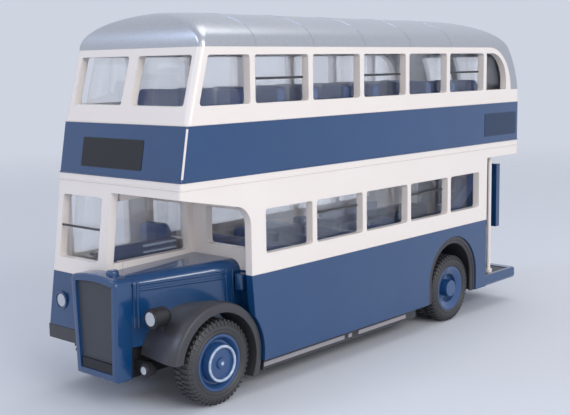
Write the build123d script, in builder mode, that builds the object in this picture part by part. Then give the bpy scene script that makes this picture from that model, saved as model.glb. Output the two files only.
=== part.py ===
import os
from math import cos, radians, sin, sqrt

from build123d import *

os.makedirs("parts", exist_ok=True)

# A die-cast half-cab double decker bus with an open rear platform, in millimetres.
# +X is forward, +Y is the nearside (the platform side), +Z is up, and the wheels stand on z = 0.

# Overall size
length = 104.0
width = 30.0
height = 60.8
wall = 1.4
fit_gap = 0.05
loose_gap = 0.2

# Stages of the height. The two rows of side windows share what the others leave.
skirt_z = 5.0
lower_panel_height = 14.4
lower_sill_rise = 3.1
lower_head_drop = 5.8
band_height = 8.2
upper_sill_rise = 2.8
upper_head_drop = 1.2
roof_rise = 5.6
upper_light_extra = 0.3

# How far the raked front stands back from the radiator's face at each moulded line
rake_at_skirt = 1.0
rake_at_waist = 3.1
rake_at_band_low = 5.3
rake_at_band_high = 6.8
rake_at_cant = 10.05

# Corner radii in plan
front_corner = 0.5
cant_corner = 0.9
rear_corner = 0.9
crown_corner = 6.7

# Roof and rear dome
roof_side_run = 12.5
roof_front_run = 5.5
dome_run = 17.5
silver_front_set_in = 12.6
silver_rear_rise = 2.7
dome_light_width = 6.6
dome_light_mullion = 1.6
dome_light_sill_rise = 3.7
dome_light_head_drop = 1.8

# Sections of the smooth lofts: degrees round the roof's quarter ellipse, and steps up the dome
crown_turns = (0, 22, 44, 64, 80, 90)
dome_steps = 4

# Side windows: the pillars divide the length between the first jamb and the rear light
upper_bays = 5
lower_bays = 3
first_jamb_set_back = 21.2
rear_light_set_in = 13.8
rear_light_width = 8.0
rear_light_corner = 5.8
pillar = 1.15
lower_jamb_shift = 0.6
window_corner = 0.5
front_pillar = 1.6
front_mullion_half = 1.1
front_light_set_in = 1.7

# Half-cab, bulkhead and canopy
cab_wall_y = -1.0
leading_edge_set_back = 19.6
leading_edge_flare = 1.6
bulkhead_set_back = 2.4
canopy_corner = 3.4
canopy_rear_drop = 5.3
canopy_front_drop = 1.3
deck_drop = 2.0
overhang_drop = 3.1
cab_foot_z = 10.6
cab_sill_rise = 2.4
windscreen_head_drop = 3.5
windscreen_set_in = 1.7
windscreen_post = 2.2
cab_light_front = 6.5
cab_light_head_drop = 3.9
cab_light_rear_post = 1.2
lower_light_front_post = 1.0
lower_light_rear_post = 3.2
bulkhead_light_rise = 3.6
bulkhead_light_drop = 0.5
bulkhead_light_set_in = 2.6
bulkhead_post = 3.2

# Open platform at the rear
platform_length = 13.1
platform_low_z = 4.8
platform_top_z = 7.2
platform_rim = 0.9
platform_edge = 0.8
platform_lip = 0.5
platform_corner = 1.2
tread_depth = 0.5
tread_sunk = 0.1
stair_panel_set_in = 4.5
stair_panel_z = 15.9
stair_panel_gap = 2.5
stair_opening_y = 2.0
stair_depth = 5.0
stair_gap = 0.4
stair_steps = 7
stair_string = 2.0
stair_start_set_in = 6.0
stair_end_set_in = 2.7
stairwell_run = 8.8
stairwell_margin = 0.1
pole_radius = 0.45
pole_collar = 0.35
pole_collar_height = 0.8
pole_set_in_x = 4.2
pole_set_in_y = 1.9

# Running gear
front_overhang = 12.7
rear_overhang = 25.8
tyre_radius = 6.75
tyre_set_in = 0.5
front_tyre_width = 3.8
rear_tyre_width = 6.2
twin_groove_width = 0.7
twin_groove_depth = 1.2
tyre_shoulder = 0.7
rim_radius = 4.5
axle_radius = 0.8
axle_clearance = 0.06

# Wheel discs: rows of (radius, depth behind the tyre's face), from the rim to the middle
front_disc = ((4.5, 0.25), (4.1, 0.25), (3.5, 1.0), (3.0, 1.0), (2.9, 0.55), (2.5, 0.55), (2.3, 0.9),
              (1.1, 0.9), (1.0, 0.1), (0.0, 0.1))
rear_disc = ((4.5, 0.3), (4.1, 0.3), (2.9, 0.8), (2.8, 1.7), (1.75, 1.7), (1.65, 0.05), (0.0, 0.05))

# Wings and rear arches
wing_clearance = 1.15
wing_thickness = 1.6
wing_set_in = 0.4
wing_edge = 1.3
wing_front_z = 8.3
wing_rear_z = 2.9
wing_lip_set_back = 0.8
wing_lip_depth = 1.0
rear_arch_clearance = 1.95
arch_head_drop = 1.9
liner_thickness = 0.8
liner_set_in = 0.3
wheel_box_gap = 0.7
wheel_box_end = 1.0

# Radiator and bonnet
radiator_depth = 3.0
radiator_low_z = 4.6
radiator_rise = 1.7
radiator_low_half = 4.4
radiator_top_half = 5.2
radiator_crown = 0.6
radiator_corner = 1.3
radiator_edge = 0.4
radiator_frame = 1.1
grille_recess = 1.0
grille_thickness = 0.5
bonnet_rise = 1.7
bonnet_slope = 0.5
bonnet_front_y = 4.7
bonnet_rear_y = 10.0
bonnet_edge = 2.0

# Lamps
lens_seat = 0.5
lens_stand = 0.2
lens_edge = 0.15
headlamp_radius = 1.55
headlamp_lens = 1.15
headlamp_depth = 3.4
headlamp_set_back = 3.4
headlamp_out = 4.6
headlamp_drop = 1.45
lamp_bowl_flat = 0.3
lamp_foot_width = 1.2
lamp_foot_set_back = 1.8
lamp_foot_length = 2.4
offside_lamp_set_in = 3.2
bezel_stand = 0.3
fog_radius = 1.1
fog_lens = 0.7
fog_depth = 2.0
fog_set_back = 3.0
fog_arm = 3.5
fog_z = 6.6
fog_arm_height = 1.8
fog_arm_depth = 1.1

# Chassis
chassis_floor_z = 8.4
chassis_plate = 1.2
rail_y = 3.6
rail_width = 1.4
rail_low_z = 4.6
gearbox_low_z = 4.2
gearbox_front = 14.0
gearbox_length = 11.0
gearbox_gap = 0.3
shaft_radius = 0.6
shaft_end_gap = 1.6
tank_length = 12.0
tank_front = 12.0
tank_low_z = 5.2
tank_gap = 1.2
tank_corner = 0.8
side_rail_low_z = 2.8
side_rail_high_z = 4.3
side_rail_set_in = 1.6
side_rail_width = 1.1
bracket_width = 1.4
bracket_count = 3

# Floors, seats and the driver's place
floor_sheet = 0.8
seat_tray = 0.5
seat_pitch = 8.6
seat_back = 1.3
seat_lean = 1.0
seat_cushion = 5.8
seat_cushion_height = 5.6
seat_corner = 1.1
seat_wall_gap = 0.45
aisle = 4.2
upper_seat_height = 14.3
lower_seat_height = 16.6
upper_first_back = 21.0
upper_tray_front = 10.5
upper_tray_rear = 9.0
lower_first_back = 13.0
bench_back = 1.1
bench_cushion = 1.8
driver_seat_gap = 0.4
driver_seat_depth = 5.0
driver_cushion_rise = 3.65
driver_back_rise = 9.25
driver_back = 1.2
driver_back_corner = 1.7
driver_set_back = 1.0
steering_radius = 2.5
steering_rim = 0.25
steering_set_back = 9.4
steering_rise = 1.6
steering_tilt = -30.0
steering_column = 6.0
column_radius = 0.4

# Glazing
glass = 0.7
glass_sill_lap = 1.2
glass_head_lap = 0.9
cab_glass_lap = 0.8

# Worked out from the sizes above
half_length = length / 2
half_width = width / 2
rear_x = -half_length
waist_z = skirt_z + lower_panel_height
lower_sill_z = waist_z + lower_sill_rise
fixed_heights = lower_sill_z + lower_head_drop + band_height + upper_sill_rise + upper_head_drop + roof_rise
lower_light_height = (height - fixed_heights - upper_light_extra) / 2
lower_head_z = lower_sill_z + lower_light_height
band_low_z = lower_head_z + lower_head_drop
band_high_z = band_low_z + band_height
upper_sill_z = band_high_z + upper_sill_rise
upper_head_z = upper_sill_z + lower_light_height + upper_light_extra
cant_z = upper_head_z + upper_head_drop
deck_low_z = band_low_z - deck_drop
deck_top_z = deck_low_z + floor_sheet
overhang_z = band_low_z - overhang_drop
leading_edge_x = half_length - leading_edge_set_back
bulkhead_x = leading_edge_x - bulkhead_set_back
entrance_x = rear_x + platform_length
stair_panel_y = half_width - stair_panel_set_in
silver_front_x = rear_x + silver_front_set_in
first_jamb_x = half_length - first_jamb_set_back
bay_pitch = (length - first_jamb_set_back - rear_light_set_in) / upper_bays
front_axle_x = half_length - front_overhang
rear_axle_x = rear_x + rear_overhang
track_half = half_width - tyre_set_in
wing_inner = tyre_radius + wing_clearance
wing_outer = wing_inner + wing_thickness
wing_side_y = half_width - wing_set_in
rear_arch_radius = tyre_radius + rear_arch_clearance
rear_arch_z = waist_z - arch_head_drop - rear_arch_radius
wheel_box_y = track_half - rear_tyre_width - wheel_box_gap
wheel_box_half = rear_arch_radius + wheel_box_end
wheel_box_x = (rear_axle_x - wheel_box_half, rear_axle_x + wheel_box_half)
chassis_top_z = chassis_floor_z + chassis_plate
glass_y = half_width - wall - fit_gap
seat_y = glass_y - glass - seat_wall_gap
seat_width = seat_y - aisle / 2
radiator_x = half_length - radiator_depth
radiator_top_z = waist_z + radiator_rise
bonnet_top_z = waist_z + bonnet_rise
lamp_z = tyre_radius + wing_outer - headlamp_drop

# Rows of the raked front: (z, front, corner radius)
skirt_row = (skirt_z, half_length - rake_at_skirt, front_corner)
waist_row = (waist_z, half_length - rake_at_waist, front_corner)
band_low_row = (band_low_z, half_length - rake_at_band_low, front_corner)
band_high_row = (band_high_z, half_length - rake_at_band_high, front_corner)
cant_row = (cant_z, half_length - rake_at_cant, cant_corner)


def side_plane(y):
    # A sketch plane facing the offside: sketch x is X, sketch y is Z, and extruding goes towards -Y
    return Plane(origin=(0, y, 0), x_dir=(1, 0, 0), z_dir=(0, -1, 0))


def front_plane(x):
    # A sketch plane facing forward: sketch x is Y, sketch y is Z, and extruding goes towards +X
    return Plane(origin=(x, 0, 0), x_dir=(0, 1, 0), z_dir=(1, 0, 0))


def front_between(low, high, z):
    # The raked front's distance at a height between two rows
    share = (z - low[0]) / (high[0] - low[0])
    return low[1] + share * (high[1] - low[1])


def plan_section(z, x_span, half, front_radius, rear_radius):
    # A plan of the body at one height, with its own corner radius in front and behind
    with BuildSketch(Plane.XY.offset(z)) as section:
        with Locations(((x_span[0] + x_span[1]) / 2, 0)):
            Rectangle(x_span[1] - x_span[0], 2 * half)
        fillet(section.vertices().group_by(Axis.X)[-1], max(front_radius, fit_gap))
        fillet(section.vertices().group_by(Axis.X)[0], max(rear_radius, fit_gap))
    return section.sketch


def body_section(row, inset):
    # The body's plan at a row of (z, front, corner), drawn in by the inset
    z, front, corner = row
    return plan_section(z, (rear_x + inset, front - inset), half_width - inset, corner - inset,
                        rear_corner - inset)


def body_ring(low, high, inset, mode=Mode.ADD):
    # A raked length of the body between two rows
    loft([body_section(row, inset) for row in (low, high)], ruled=True, mode=mode)


def block(x_span, y_span, z_span, mode=Mode.ADD):
    # A rectangular block between two limits on each axis
    centre = [(low + high) / 2 for low, high in (x_span, y_span, z_span)]
    with Locations(tuple(centre)):
        Box(x_span[1] - x_span[0], y_span[1] - y_span[0], z_span[1] - z_span[0], mode=mode)


def mirrored_span(side, inner, outer):
    # The limits across the width of something between two distances from the middle
    return tuple(sorted((side * inner, side * outer)))


def save(builder, name):
    builder.part.label = name
    export_step(builder.part, f"parts/{name}.step")


def rounded_light(run, rise):
    # A window outline with rounded corners, their radius limited by its height
    RectangleRounded(run, rise, min(window_corner, rise / 3))


def cut_side_light(x_front, x_rear, z_low, z_high, y_span):
    # A window through a wall that runs along the bus
    with BuildSketch(side_plane(y_span[1])) as opening:
        with Locations(((x_front + x_rear) / 2, (z_low + z_high) / 2)):
            rounded_light(x_front - x_rear, z_high - z_low)
    extrude(opening.sketch, amount=y_span[1] - y_span[0], mode=Mode.SUBTRACT)


def cut_front_light(y_low, y_high, z_low, z_high, x_span):
    # A window through a wall that runs across the bus
    with BuildSketch(front_plane(x_span[0])) as opening:
        with Locations(((y_low + y_high) / 2, (z_low + z_high) / 2)):
            rounded_light(y_high - y_low, z_high - z_low)
    extrude(opening.sketch, amount=x_span[1] - x_span[0], mode=Mode.SUBTRACT)


def wheel_circle(axle_x, z, radius, y_high, depth, mode=Mode.SUBTRACT):
    # A round cut or band across the bus
    with BuildSketch(side_plane(y_high)) as circle:
        with Locations((axle_x, z)):
            Circle(radius)
    extrude(circle.sketch, amount=depth, mode=mode)


def cut_rear_arches():
    # The rear wheel openings in both skirts
    wheel_circle(rear_axle_x, rear_arch_z, rear_arch_radius, half_width + wall, width + 2 * wall)
    block((rear_axle_x - rear_arch_radius, rear_axle_x + rear_arch_radius),
          (-half_width - wall, half_width + wall), (0, rear_arch_z), Mode.SUBTRACT)


def cut_entrance(z_high):
    # The open platform takes away the nearside wall and rear corner behind the entrance,
    # and the flat of the rear wall, which is a panel of its own
    block((rear_x - wall, entrance_x), (stair_panel_y, half_width + wall), (0, z_high), Mode.SUBTRACT)
    block((rear_x - wall, rear_x + 2 * wall), (-stair_panel_y, stair_panel_y + wall), (0, z_high),
          Mode.SUBTRACT)


def canopy_space(y_low):
    # The open space over the bonnet: in front of the leading edge and under the canopy's curved edge
    foot = (leading_edge_x - leading_edge_flare, 0)
    canopy_front = (half_length + wall, band_low_z - canopy_front_drop)
    with BuildSketch(side_plane(half_width + wall)) as space:
        with BuildLine():
            FilletPolyline(foot, (leading_edge_x, waist_z), (leading_edge_x, band_low_z - canopy_rear_drop),
                           canopy_front, radius=canopy_corner)
            Polyline(canopy_front, (half_length + wall, 0), foot)
        make_face()
    extrude(space.sketch, amount=half_width + wall - y_low, mode=Mode.SUBTRACT)


near_wall = (half_width - 2 * wall, half_width + wall)
off_wall = (-half_width - wall, -half_width + 2 * wall)
across = (wall - half_width, half_width - wall)
bulkhead_span = (bulkhead_x - wall, bulkhead_x)

# Lower panels: the blue skirt, the cab's lower front and the lower bulkhead
with BuildPart() as lower_panels:
    body_ring(skirt_row, waist_row, 0)
    body_ring(skirt_row, waist_row, wall, Mode.SUBTRACT)
    canopy_space(-radiator_top_half - 2 * fit_gap)
    block(bulkhead_span, across, (chassis_top_z, waist_z))
    block((bulkhead_x, half_length), (-half_width - wall, 0), (0, cab_foot_z), Mode.SUBTRACT)
    cut_rear_arches()
    wheel_circle(front_axle_x, tyre_radius, wing_outer + fit_gap, half_width + wall, width + 2 * wall)
    cut_entrance(waist_z + wall)
save(lower_panels, "lower_panels")


def jamb(bay):
    # The front edge of each side window, counted from the front
    return first_jamb_x - bay * bay_pitch


# Lower window band: the cream walls of the lower saloon, the cab and the canopy's edge
cab_sill_z = waist_z + cab_sill_rise
with BuildPart() as lower_window_band:
    body_ring(waist_row, band_low_row, 0)
    body_ring(waist_row, band_low_row, wall, Mode.SUBTRACT)
    canopy_space(cab_wall_y)
    block(bulkhead_span, across, (waist_z, deck_low_z))
    cab_side = (cab_wall_y - wall, cab_wall_y)
    block((bulkhead_x - wall, band_low_row[1] - wall), cab_side, (waist_z, deck_low_z))
    cut_entrance(overhang_z)
    for wall_span in (near_wall, off_wall):
        lights = [(bulkhead_x - lower_light_front_post, jamb(1) + pillar - lower_jamb_shift)]
        for bay in range(1, lower_bays + 1):
            lights.append((jamb(bay) - lower_jamb_shift, jamb(bay + 1) + pillar - lower_jamb_shift))
        lights.append((jamb(lower_bays + 1) - lower_jamb_shift, entrance_x + lower_light_rear_post))
        for x_front, x_rear in lights:
            cut_side_light(x_front, x_rear, lower_sill_z, lower_head_z, wall_span)
    cab_through = (cab_wall_y - 2 * wall, cab_wall_y + wall)
    for rear_edge, wall_span in ((leading_edge_x, off_wall), (bulkhead_x, cab_through)):
        cut_side_light(half_length - cab_light_front, rear_edge + cab_light_rear_post, cab_sill_z,
                       band_low_z - cab_light_head_drop, wall_span)
    cut_front_light(windscreen_set_in - half_width, cab_wall_y - windscreen_post, cab_sill_z,
                    band_low_z - windscreen_head_drop, (band_low_row[1] - 2 * wall, half_length))
    for y_low, y_high in ((cab_wall_y + bulkhead_post, half_width - bulkhead_light_set_in),
                          (bulkhead_light_set_in - half_width, cab_wall_y - bulkhead_post)):
        cut_front_light(y_low, y_high, waist_z + bulkhead_light_rise, lower_head_z - bulkhead_light_drop,
                        (bulkhead_x - 2 * wall, bulkhead_x + wall))
save(lower_window_band, "lower_window_band")

# Deck band: the blue belt between the decks
with BuildPart() as deck_band:
    body_ring(band_low_row, band_high_row, 0)
    body_ring(band_low_row, band_high_row, wall, Mode.SUBTRACT)
save(deck_band, "deck_band")


def dome_set_in(z):
    # How far the rear dome has come forward at a height: a quarter ellipse from the band to the crown
    share = min((z - band_high_z) / (height - band_high_z), 1)
    return dome_run * (1 - sqrt(1 - share ** 2))


def upper_section(z, inset):
    # The upper deck's plan at one height: raked in front, domed behind
    front = front_between(band_high_row, cant_row, z)
    return plan_section(z, (rear_x + dome_set_in(z) + inset, front - inset), half_width - inset,
                        cant_corner - inset, rear_corner - inset)


def upper_form(z_low, z_high, inset, mode=Mode.ADD):
    # A length of the upper deck as a smooth loft
    levels = [z_low + (z_high - z_low) * step / dome_steps for step in range(dome_steps + 1)]
    loft([upper_section(z, inset) for z in levels], mode=mode)


def crown_section(turn, inset):
    # The roof's plan at one turn of the quarter ellipse that rises from the cant line to the crown
    rise = sin(radians(turn))
    run = 1 - cos(radians(turn))
    rear = rear_x + dome_set_in(cant_z + roof_rise * rise) + inset
    front = cant_row[1] - roof_front_run * run - inset
    half = half_width - roof_side_run * run - inset
    corner = cant_corner + (crown_corner - cant_corner) * run - inset
    corner = min(corner, half - fit_gap)
    return plan_section(cant_z + (roof_rise - inset) * rise, (rear, front), half, corner, corner)


def crown_form(inset, mode=Mode.ADD):
    # The domed roof above the cant line as a smooth loft
    loft([crown_section(turn, inset) for turn in crown_turns], mode=mode)


# The zone of the silver paint, seen from the side
silver_radius = cant_z - band_high_z - silver_rear_rise
with BuildPart() as silver_zone:
    arc_start = (silver_front_x, cant_z)
    arc_end = (silver_front_x - silver_radius, cant_z - silver_radius)
    with BuildSketch(side_plane(half_width + wall)):
        with BuildLine():
            Line((half_length, cant_z), arc_start)
            RadiusArc(arc_start, arc_end, -silver_radius)
            Polyline(arc_end, (rear_x - wall, arc_end[1]), (rear_x - wall, height + wall),
                     (half_length, height + wall), (half_length, cant_z))
        make_face()
    extrude(amount=width + 2 * wall)

# The upper deck's wall, which the silver line divides
with BuildPart() as upper_wall:
    upper_form(band_high_z, cant_z, 0)
    upper_form(band_high_z, cant_z, wall, Mode.SUBTRACT)

# Roof: the silver crown and rear dome, with the two panes of the rear emergency window
with BuildPart() as roof:
    crown_form(0)
    crown_form(wall, Mode.SUBTRACT)
    add(upper_wall.part & silver_zone.part)
    for side in (1, -1):
        y_span = mirrored_span(side, dome_light_mullion / 2, dome_light_mullion / 2 + dome_light_width)
        cut_front_light(*y_span, band_high_z + dome_light_sill_rise, cant_z - dome_light_head_drop,
                        (rear_x - wall, silver_front_x))
save(roof, "roof")

# Upper window band: cream pillars and sills, carried round the rear under the dome
with BuildPart() as upper_window_band:
    add(upper_wall.part - silver_zone.part)
    for wall_span in (near_wall, off_wall):
        thickness = wall_span[1] - wall_span[0]
        first_rear = jamb(0) + pillar
        first_corners = [(front_between(band_high_row, cant_row, z) - front_pillar, z)
                         for z in (upper_sill_z, upper_head_z)]
        with BuildSketch(side_plane(wall_span[1])) as first_light:
            Polygon(*first_corners, (first_rear, upper_head_z), (first_rear, upper_sill_z), align=None)
            fillet(first_light.vertices(), min(window_corner, lower_light_height / 3))
        extrude(first_light.sketch, amount=thickness, mode=Mode.SUBTRACT)
        for bay in range(upper_bays):
            cut_side_light(jamb(bay), jamb(bay + 1) + pillar, upper_sill_z, upper_head_z, wall_span)
        light_height = upper_head_z - upper_sill_z
        with BuildSketch(side_plane(wall_span[1])) as rear_light:
            with Locations((jamb(upper_bays) - rear_light_width / 2, (upper_sill_z + upper_head_z) / 2)):
                Rectangle(rear_light_width, light_height)
            rear_top = rear_light.vertices().group_by(Axis.X)[0].sort_by(Axis.Y)[-1]
            fillet(rear_top, min(rear_light_corner, light_height - fit_gap))
        extrude(rear_light.sketch, amount=thickness, mode=Mode.SUBTRACT)
    for side in (1, -1):
        y_span = mirrored_span(side, front_mullion_half, half_width - front_light_set_in)
        cut_front_light(*y_span, upper_sill_z, upper_head_z, (cant_row[1] - 2 * wall, half_length))
save(upper_window_band, "upper_window_band")

# Rear panel: the blue panel behind the stairs, cut away over the open platform and under the overhang
panel_through = (rear_x - wall, rear_x + 2 * wall)
with BuildPart() as rear_panel:
    block((rear_x, rear_x + wall), (-stair_panel_y, stair_panel_y), (skirt_z, overhang_z))
    block(panel_through, (stair_opening_y, half_width), (0, stair_panel_z), Mode.SUBTRACT)
    block(panel_through, (stair_opening_y, half_width), (overhang_z - stair_panel_gap, height),
          Mode.SUBTRACT)
save(rear_panel, "rear_panel")

# Upper deck floor, with the stairwell at the rear
stair_x = (rear_x + wall + stair_gap, rear_x + wall + stair_gap + stair_depth)
stair_y = (stair_start_set_in - half_width, stair_panel_y - stair_end_set_in)
with BuildPart() as upper_floor:
    extrude(body_section((deck_low_z, band_low_row[1], front_corner), wall + fit_gap), amount=floor_sheet)
    block((stair_x[0] - stairwell_margin, stair_x[1] + stairwell_margin),
          (stair_y[1] - stairwell_run, stair_y[1] + stairwell_margin), (deck_low_z, deck_top_z),
          Mode.SUBTRACT)
save(upper_floor, "upper_floor")


def double_seat(rise):
    # One double seat facing forward, its back at x = 0: a boxed cushion and a round-cornered leaning back
    with BuildPart() as seat:
        with BuildSketch(side_plane(seat_width / 2)):
            with BuildLine():
                Polyline((-seat_lean, 0), (seat_cushion, 0), (seat_cushion, seat_cushion_height),
                         (seat_back, seat_cushion_height), (seat_back - seat_lean, rise),
                         (-seat_lean, rise), close=True)
            make_face()
        extrude(amount=seat_width)
        fillet(seat.edges().filter_by(Axis.X).group_by(Axis.Z)[-1], seat_corner)
    return seat.part


def seat_rows(first_back, rear_limit, floor, rise):
    # Double seats on both sides of the aisle, from the first back to the rear limit
    seat = double_seat(rise - floor)
    rows = int((first_back - seat_lean - rear_limit) / seat_pitch) + 1
    for row in range(rows):
        for side in (1, -1):
            place = Location((first_back - row * seat_pitch, side * (seat_y - seat_width / 2), floor))
            add(seat.moved(place))


# Upper seats: one moulding of double seats on a thin tray
with BuildPart() as upper_seats:
    tray_z = deck_top_z + seat_tray
    tray_x = (rear_x + upper_tray_rear, half_length - upper_tray_front)
    block(tray_x, (-seat_y, seat_y), (deck_top_z, tray_z))
    seat_rows(half_length - upper_first_back, tray_x[0], tray_z, deck_top_z + upper_seat_height)
save(upper_seats, "upper_seats")

# Lower seats: a floor tray with double seats, and long seats boxed over the rear wheels
with BuildPart() as lower_seats:
    tray_z = chassis_top_z + floor_sheet
    seat_top_z = tray_z + lower_seat_height
    box_top_z = rear_arch_z + rear_arch_radius + loose_gap
    tray_front = bulkhead_x - wall - glass - loose_gap
    block((entrance_x + wall, tray_front), (-seat_y, seat_y), (chassis_top_z, tray_z))
    for side in (1, -1):
        block(wheel_box_x, mirrored_span(side, wheel_box_y, half_width), (0, tray_z), Mode.SUBTRACT)
    seat_rows(bulkhead_x - lower_first_back, wheel_box_x[1] + seat_back, tray_z, seat_top_z)
    for side in (1, -1):
        cushion_z = box_top_z + bench_cushion
        box_side = wheel_box_y - floor_sheet
        block(wheel_box_x, mirrored_span(side, box_side, wheel_box_y), (chassis_top_z, box_top_z))
        block(wheel_box_x, mirrored_span(side, box_side, seat_y), (box_top_z, cushion_z))
        block(wheel_box_x, mirrored_span(side, seat_y - bench_back, seat_y), (cushion_z, seat_top_z))
save(lower_seats, "lower_seats")

# Stairs along the rear panel, rising from the platform to the upper deck
with BuildPart() as staircase:
    tread_run = (stair_y[1] - stair_y[0]) / stair_steps
    rise = (deck_low_z - platform_top_z) / (stair_steps + 1)
    outline = [(stair_y[0], platform_top_z)]
    for step in range(stair_steps):
        step_z = platform_top_z + (step + 1) * rise
        outline += [(stair_y[0] + step * tread_run, step_z), (stair_y[0] + (step + 1) * tread_run, step_z)]
    outline += [(stair_y[1], outline[-1][1] - stair_string), (stair_y[0] + tread_run, platform_top_z)]
    with BuildSketch(front_plane(stair_x[0])):
        Polygon(*outline, align=None)
    extrude(amount=stair_depth)
save(staircase, "staircase")

# Upper glazing: one clear moulding all round inside the window band and the dome
with BuildPart() as upper_glazing:
    glass_z = (upper_sill_z - glass_sill_lap, upper_head_z + glass_head_lap)
    upper_form(*glass_z, wall + fit_gap)
    upper_form(*glass_z, wall + fit_gap + glass, Mode.SUBTRACT)
save(upper_glazing, "upper_glazing")

# Lower glazing: a clear moulding in a U along both sides and across the bulkhead
with BuildPart() as lower_glazing:
    glass_front = bulkhead_x - wall - fit_gap
    glass_z = (lower_sill_z - glass_sill_lap, lower_head_z + glass_sill_lap)
    block((entrance_x + wall, glass_front), (-glass_y, glass_y), glass_z)
    block((entrance_x, glass_front - glass), (glass - glass_y, glass_y - glass), glass_z, Mode.SUBTRACT)
save(lower_glazing, "lower_glazing")


def cab_section(z, inset, rear):
    # The inside of the cab in plan at one height
    front = front_between(waist_row, band_low_row, z) - wall - fit_gap - inset
    low = -glass_y + inset
    high = cab_wall_y - wall - fit_gap - inset
    with BuildSketch(Plane.XY.offset(z)) as section:
        with Locations(((front + rear) / 2, (low + high) / 2)):
            Rectangle(front - rear, high - low)
    return section.sketch


# Cab glazing: windscreen and the two side lights in one clear moulding, open to the bulkhead
with BuildPart() as cab_glazing:
    cab_glass_z = (cab_sill_z - cab_glass_lap, band_low_z - windscreen_head_drop + cab_glass_lap)
    loft([cab_section(z, 0, bulkhead_x + fit_gap) for z in cab_glass_z], ruled=True)
    loft([cab_section(z, glass, bulkhead_x) for z in cab_glass_z], ruled=True, mode=Mode.SUBTRACT)
save(cab_glazing, "cab_glazing")

# Bonnet, with its nearside edge spreading back to the bulkhead
with BuildPart() as bonnet:
    with BuildSketch(Plane.XY.offset(chassis_top_z)):
        Polygon((bulkhead_x, -radiator_top_half), (radiator_x, -radiator_top_half),
                (radiator_x, bonnet_front_y), (bulkhead_x, bonnet_rear_y), align=None)
    extrude(amount=bonnet_top_z - chassis_top_z)
    with BuildSketch(side_plane(half_width)):
        Polygon((bulkhead_x, bonnet_top_z), (radiator_x, bonnet_top_z - bonnet_slope), (radiator_x, height),
                (bulkhead_x, height), align=None)
    extrude(amount=width, mode=Mode.SUBTRACT)
    block((bulkhead_x - wall, half_length), (-half_width, cab_wall_y + fit_gap),
          (waist_z - fit_gap, height), Mode.SUBTRACT)
    shoulder = bonnet.faces().sort_by(Axis.Z)[-1].edges().sort_by(Axis.Y)[-1]
    fillet(shoulder, bonnet_edge)
save(bonnet, "bonnet")


def radiator_outline(x, frame):
    # The radiator's outline, drawn in by the width of its frame: a tapered shield with a crowned top
    low_half = radiator_low_half - frame
    top_half = radiator_top_half - frame
    low_z = radiator_low_z + frame
    shoulder_z = radiator_top_z - radiator_crown - frame
    with BuildSketch(front_plane(x)) as outline:
        with BuildLine():
            Polyline((-top_half, shoulder_z), (-low_half, low_z), (low_half, low_z), (top_half, shoulder_z))
            ThreePointArc((top_half, shoulder_z), (0, radiator_top_z - frame), (-top_half, shoulder_z))
        make_face()
        fillet(outline.vertices().group_by(Axis.Y)[-1], radiator_corner)
    return outline.sketch


# Radiator shell with its grille recess, and the grille plate seated in it
with BuildPart() as radiator_shell:
    extrude(radiator_outline(radiator_x, 0), amount=radiator_depth)
    fillet(radiator_shell.faces().sort_by(Axis.X)[-1].edges(), radiator_edge)
    extrude(radiator_outline(half_length - grille_recess, radiator_frame), amount=grille_recess,
            mode=Mode.SUBTRACT)
save(radiator_shell, "radiator_shell")

with BuildPart() as radiator_grille:
    grille_outline = radiator_outline(half_length - grille_recess, radiator_frame + fit_gap)
    extrude(grille_outline, amount=grille_thickness)
save(radiator_grille, "radiator_grille")


def wing_section(y, lip):
    # A front wing seen from the side: a band over the wheel, cut level at both ends
    with BuildSketch(side_plane(y)) as section:
        with Locations((front_axle_x, tyre_radius)):
            Circle(wing_outer)
            Circle(wing_inner, mode=Mode.SUBTRACT)
        with Locations((front_axle_x + wing_outer, wing_front_z - wing_outer)):
            Rectangle(2 * wing_outer, 2 * wing_outer, mode=Mode.SUBTRACT)
        with Locations((front_axle_x, wing_rear_z - wing_outer)):
            Rectangle(4 * wing_outer, 2 * wing_outer, mode=Mode.SUBTRACT)
        if lip:
            front = skirt_row[1] - wing_lip_set_back
            rear = front_axle_x + wing_outer - wing_lip_depth
            top = cab_foot_z - fit_gap
            Polygon((rear, wing_front_z), (front, wing_front_z), (front, top), (rear - wing_lip_depth, top),
                    align=None)
    return section.sketch


# Front wings: the nearside one stands free with a rounded edge, the offside one has a lip under the cab
with BuildPart() as nearside_front_wing:
    extrude(wing_section(wing_side_y, False), amount=wing_side_y - bonnet_front_y)
    outer_arcs = nearside_front_wing.faces().sort_by(Axis.Y)[-1].edges().filter_by(GeomType.CIRCLE)
    fillet(outer_arcs.sort_by(Edge.length)[-1], wing_edge)
    add(bonnet.part, mode=Mode.SUBTRACT)
save(nearside_front_wing, "nearside_front_wing")

with BuildPart() as offside_front_wing:
    wing_start = -radiator_top_half - 2 * fit_gap
    extrude(wing_section(wing_start, True), amount=half_width - 2 * fit_gap + wing_start)
save(offside_front_wing, "offside_front_wing")


def round_piece(x, y, z, radius, depth, mode=Mode.ADD):
    # A cylinder along X that starts at x
    with Locations(Location((x, y, z), (0, 90, 0))):
        Cylinder(radius, depth, align=(Align.CENTER, Align.CENTER, Align.MIN), mode=mode)


def lamp_body(face_x, y, z, radius, lens, depth):
    # A lamp shell: a rounded bowl with a shallow seat for its lens
    with BuildPart() as body:
        round_piece(face_x - depth, y, z, radius, depth)
        fillet(body.edges().group_by(Axis.X)[0], radius - lamp_bowl_flat)
        round_piece(face_x - lens_seat, y, z, lens + fit_gap, lens_seat, Mode.SUBTRACT)
    return body.part


def lamp_lens(face_x, y, z, radius):
    # A round lens with a domed edge, standing a little out of its seat
    with BuildPart() as lens:
        round_piece(face_x - lens_seat, y, z, radius, lens_seat + lens_stand)
        fillet(lens.edges().group_by(Axis.X)[-1], lens_edge)
    return lens


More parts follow.
